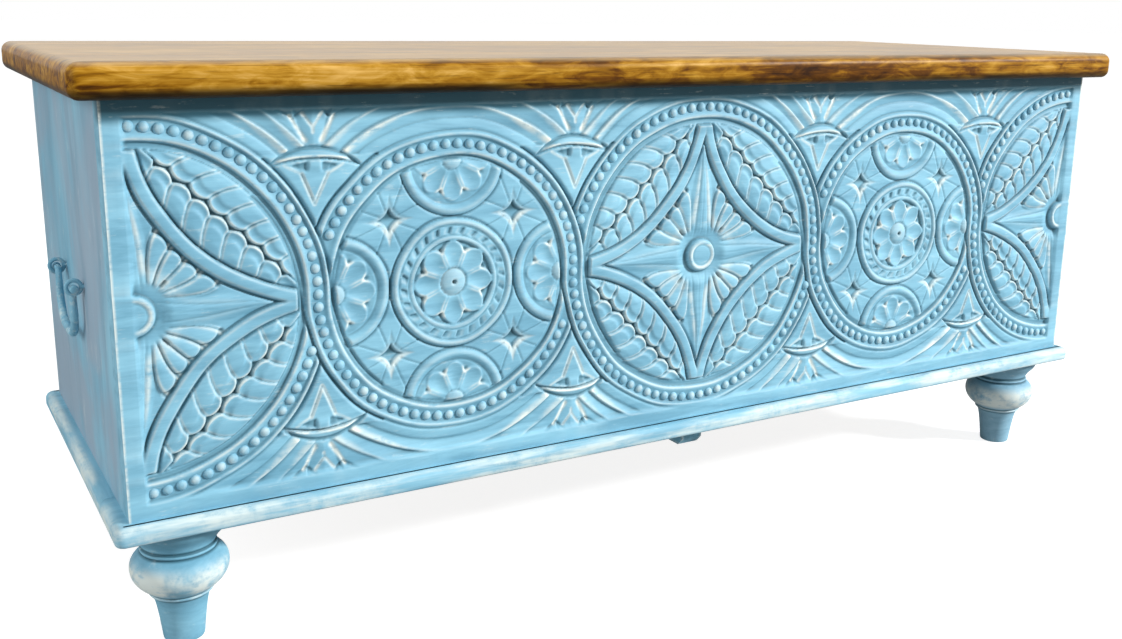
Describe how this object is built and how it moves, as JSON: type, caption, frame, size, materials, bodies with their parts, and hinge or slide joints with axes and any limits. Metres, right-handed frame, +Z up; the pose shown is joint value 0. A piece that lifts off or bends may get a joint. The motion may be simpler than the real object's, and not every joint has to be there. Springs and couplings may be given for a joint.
{
  "type": "blanket chest",
  "caption": "Carved and painted wooden storage chest on turned feet, with a hinged plank lid and a swinging bail handle at each end.",
  "frame": {"origin": "on the floor under the middle of the closed lid's outline", "axes": "+X along the chest to the right as seen from the front, +Y from the carved front to the back, +Z up"},
  "size_m": [1.238, 0.474, 0.528],
  "materials": {
    "carved_paint": "chalky distressed paint",
    "case_paint": "chalky distressed paint",
    "base_paint": "worn chalky paint",
    "foot_paint": "worn chalky paint",
    "bare_wood": "unfinished, planed",
    "lid_varnish": "satin varnish",
    "handle_paint": "brushed paint",
    "hinge_iron": "dull"
  },
  "bodies": {
    "carcass": {"front_panel": "carved_paint", "back_panel": "case_paint", "left_side_panel": "case_paint", "right_side_panel": "case_paint", "base_rail_front": "base_paint", "base_rail_back": "base_paint", "base_rail_left": "base_paint", "base_rail_right": "base_paint", "base_rail_middle": "base_paint", "under_batten": "base_paint", "front_feet": "foot_paint", "back_feet": "foot_paint", "floor_board_front": "bare_wood", "floor_board_middle": "bare_wood", "floor_board_back": "bare_wood", "corner_post_front_left": "bare_wood", "corner_post_front_right": "bare_wood", "corner_post_back_left": "bare_wood", "corner_post_back_right": "bare_wood", "left_handle_eyes": "handle_paint", "right_handle_eyes": "handle_paint", "left_hinge_wall_leaf": "hinge_iron", "right_hinge_wall_leaf": "hinge_iron"},
    "lid": {"lid_board_front": "lid_varnish", "lid_board_middle_front": "lid_varnish", "lid_board_middle_back": "lid_varnish", "lid_board_back": "lid_varnish", "lid_batten_left": "bare_wood", "lid_batten_right": "bare_wood", "left_hinge_lid_leaf": "hinge_iron", "right_hinge_lid_leaf": "hinge_iron"},
    "left_handle": {"left_bail": "handle_paint"},
    "right_handle": {"right_bail": "handle_paint"}
  },
  "joints": [
    {"name": "lid_hinge", "type": "hinge", "parent": "carcass", "child": "lid", "pos_m": [0, 0.2013, 0.4937], "axis": [-1, 0, 0], "range_deg": [0, 98]},
    {"name": "left_bail_pivot", "type": "hinge", "parent": "carcass", "child": "left_handle", "pos_m": [-0.604, -0.008, 0.3137], "axis": [0, 1, 0], "range_deg": [-4, 184]},
    {"name": "right_bail_pivot", "type": "hinge", "parent": "carcass", "child": "right_handle", "pos_m": [0.604, -0.008, 0.3137], "axis": [0, -1, 0], "range_deg": [-4, 184]}
  ]
}
